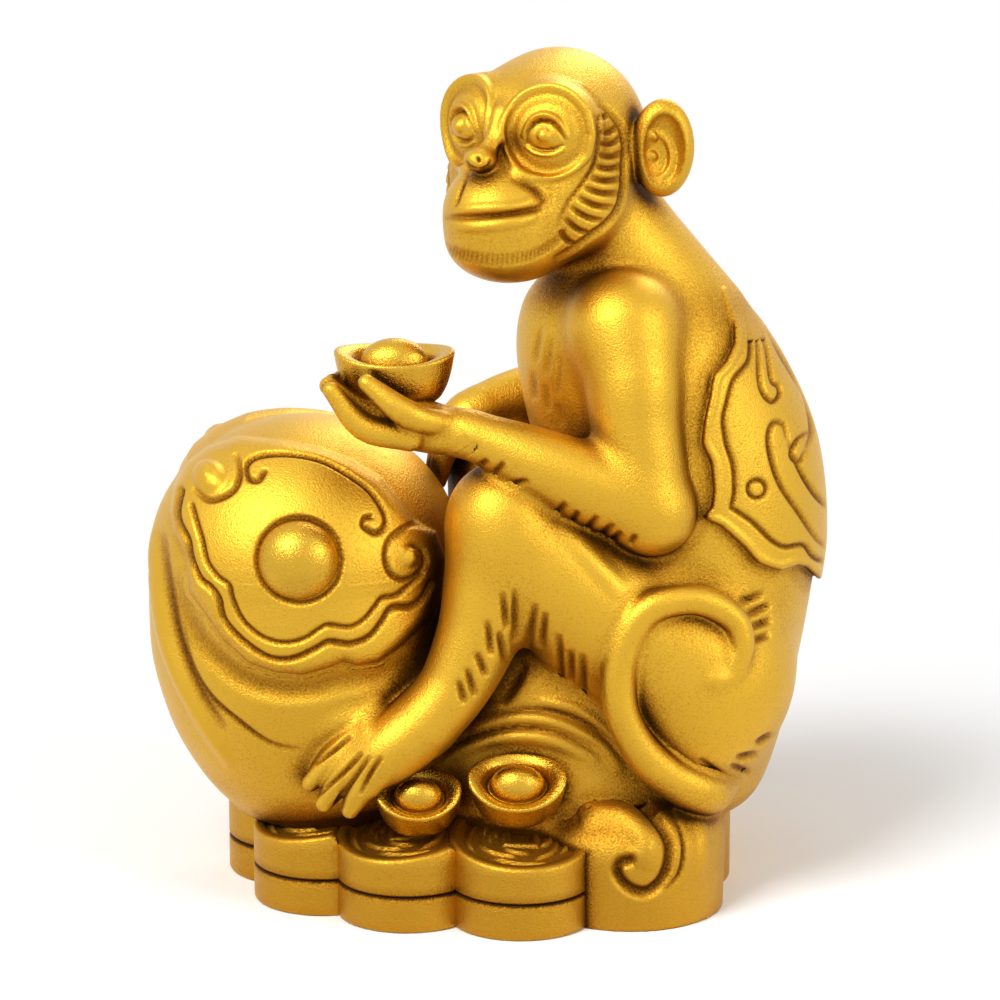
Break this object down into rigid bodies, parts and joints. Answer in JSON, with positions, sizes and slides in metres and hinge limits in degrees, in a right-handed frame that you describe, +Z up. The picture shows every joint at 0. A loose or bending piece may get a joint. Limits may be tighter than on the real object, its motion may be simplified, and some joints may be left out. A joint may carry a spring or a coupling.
{
  "type": "animal figurine",
  "caption": "Cast brass monkey seated on a scroll-headed seat, holding a boat-shaped ingot, on a base ringed with coins.",
  "frame": {"origin": "middle of the underside, on the surface the figurine stands on", "axes": "+Z up; +X from the scroll head in front of the monkey to the monkey's back; -Y towards the viewer, the monkey's left, which is the side shown"},
  "size_m": [0.0965, 0.062, 0.1198],
  "materials": {
    "satin_brass": "cast, hand brushed to a satin, dark patina left in the recesses",
    "polished_brass": "cast and polished bright on the high spots",
    "antiqued_brass": "cast, brushed edges over a darker grainy patina",
    "plate_brass": "sawn sheet, lightly brushed"
  },
  "bodies": {
    "root": {"arm_left": "satin_brass", "arm_right": "satin_brass", "back_cape": "satin_brass", "base_plate": "plate_brass", "base_shell": "antiqued_brass", "cloud_left": "antiqued_brass", "cloud_right": "antiqued_brass", "coin_far_left_lower": "antiqued_brass", "coin_far_left_upper": "antiqued_brass", "coin_far_middle_lower": "antiqued_brass", "coin_far_middle_upper": "antiqued_brass", "coin_far_right_lower": "antiqued_brass", "coin_far_right_upper": "antiqued_brass", "coin_front_end_lower": "antiqued_brass", "coin_front_end_upper": "antiqued_brass", "coin_near_left_lower": "antiqued_brass", "coin_near_left_upper": "antiqued_brass", "coin_near_middle_lower": "antiqued_brass", "coin_near_middle_upper": "antiqued_brass", "coin_near_right_lower": "antiqued_brass", "coin_near_right_upper": "antiqued_brass", "ear_left": "satin_brass", "ear_right": "satin_brass", "foot_left": "satin_brass", "foot_right": "satin_brass", "ground_mound": "antiqued_brass", "hand_left": "satin_brass", "hand_right": "satin_brass", "head": "satin_brass", "held_ingot": "polished_brass", "large_loose_ingot": "polished_brass", "leg_left": "satin_brass", "leg_right": "satin_brass", "scroll_seat": "satin_brass", "seat_pearl_left": "polished_brass", "seat_pearl_right": "polished_brass", "seat_plaque_left": "satin_brass", "seat_plaque_right": "satin_brass", "small_loose_ingot": "polished_brass", "tail": "satin_brass", "torso": "satin_brass"}
  },
  "joints": []
}
